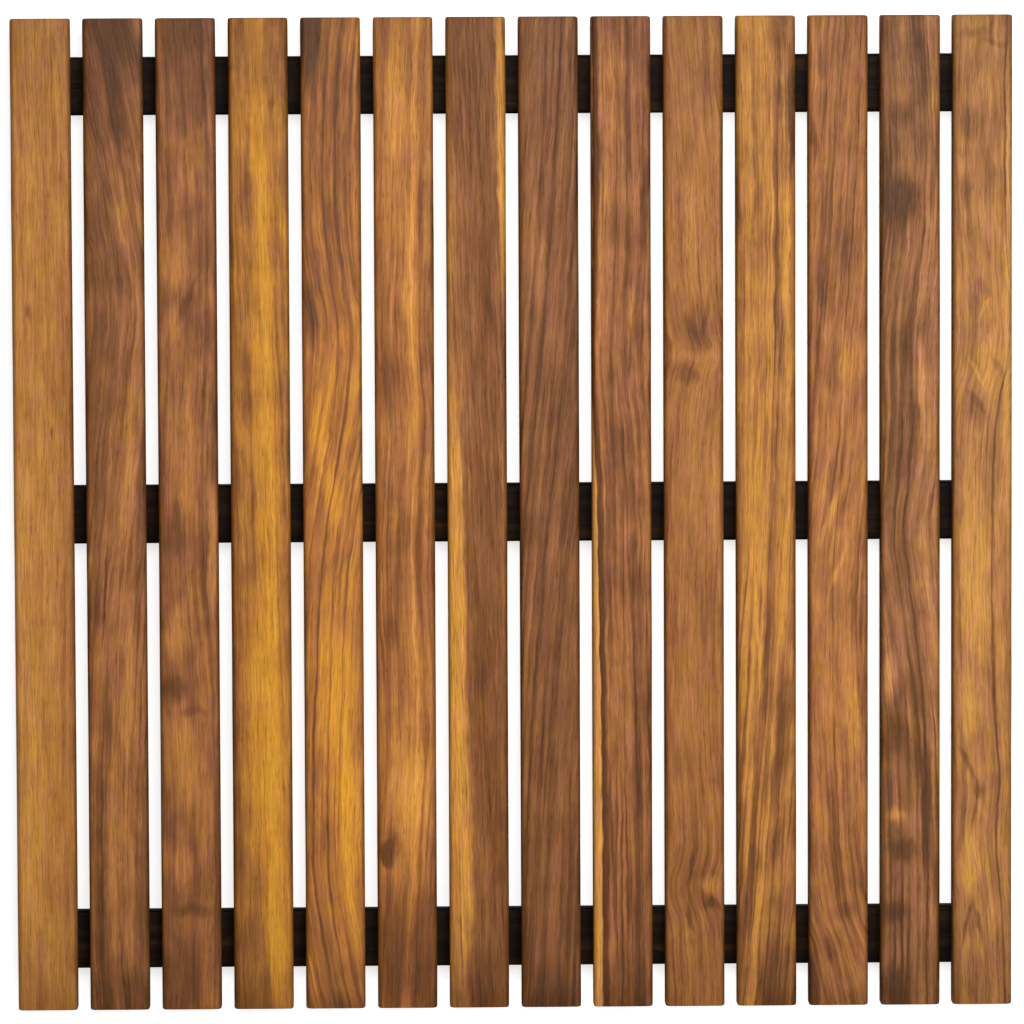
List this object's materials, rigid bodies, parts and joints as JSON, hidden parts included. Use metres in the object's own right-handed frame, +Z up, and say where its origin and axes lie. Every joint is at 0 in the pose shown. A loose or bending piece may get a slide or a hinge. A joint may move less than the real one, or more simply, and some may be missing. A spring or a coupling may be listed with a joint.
{
  "type": "bath mat",
  "caption": "Square slatted teak bath mat: flat wooden slats with drain gaps, screwed from below to cross battens that stand on rubber feet.",
  "frame": {"origin": "on the floor, under the middle of the mat", "axes": "+X across the slats, +Y along the slats, +Z up from the floor to the standing surface"},
  "size_m": [0.6028, 0.6, 0.033],
  "materials": {
    "teak_slats": "oiled, satin, board to board colour change",
    "teak_battens": "oiled, darker, planed",
    "stainless_screws": "bright turned head",
    "rubber_feet": "matt moulded"
  },
  "bodies": {
    "root": {"slat_01": "teak_slats", "slat_02": "teak_slats", "slat_03": "teak_slats", "slat_04": "teak_slats", "slat_05": "teak_slats", "slat_06": "teak_slats", "slat_07": "teak_slats", "slat_08": "teak_slats", "slat_09": "teak_slats", "slat_10": "teak_slats", "slat_11": "teak_slats", "slat_12": "teak_slats", "slat_13": "teak_slats", "slat_14": "teak_slats", "batten_front": "teak_battens", "batten_middle": "teak_battens", "batten_back": "teak_battens", "screw_front_01": "stainless_screws", "screw_front_02": "stainless_screws", "screw_front_03": "stainless_screws", "screw_front_04": "stainless_screws", "screw_front_05": "stainless_screws", "screw_front_06": "stainless_screws", "screw_front_07": "stainless_screws", "screw_front_08": "stainless_screws", "screw_front_09": "stainless_screws", "screw_front_10": "stainless_screws", "screw_front_11": "stainless_screws", "screw_front_12": "stainless_screws", "screw_front_13": "stainless_screws", "screw_front_14": "stainless_screws", "screw_middle_01": "stainless_screws", "screw_middle_04": "stainless_screws", "screw_middle_07": "stainless_screws", "screw_middle_08": "stainless_screws", "screw_middle_11": "stainless_screws", "screw_middle_14": "stainless_screws", "screw_back_01": "stainless_screws", "screw_back_02": "stainless_screws", "screw_back_03": "stainless_screws", "screw_back_04": "stainless_screws", "screw_back_05": "stainless_screws", "screw_back_06": "stainless_screws", "screw_back_07": "stainless_screws", "screw_back_08": "stainless_screws", "screw_back_09": "stainless_screws", "screw_back_10": "stainless_screws", "screw_back_11": "stainless_screws", "screw_back_12": "stainless_screws", "screw_back_13": "stainless_screws", "screw_back_14": "stainless_screws", "foot_front_left": "rubber_feet", "foot_front_centre": "rubber_feet", "foot_front_right": "rubber_feet", "foot_middle_left": "rubber_feet", "foot_middle_centre": "rubber_feet", "foot_middle_right": "rubber_feet", "foot_back_left": "rubber_feet", "foot_back_centre": "rubber_feet", "foot_back_right": "rubber_feet"}
  },
  "joints": []
}
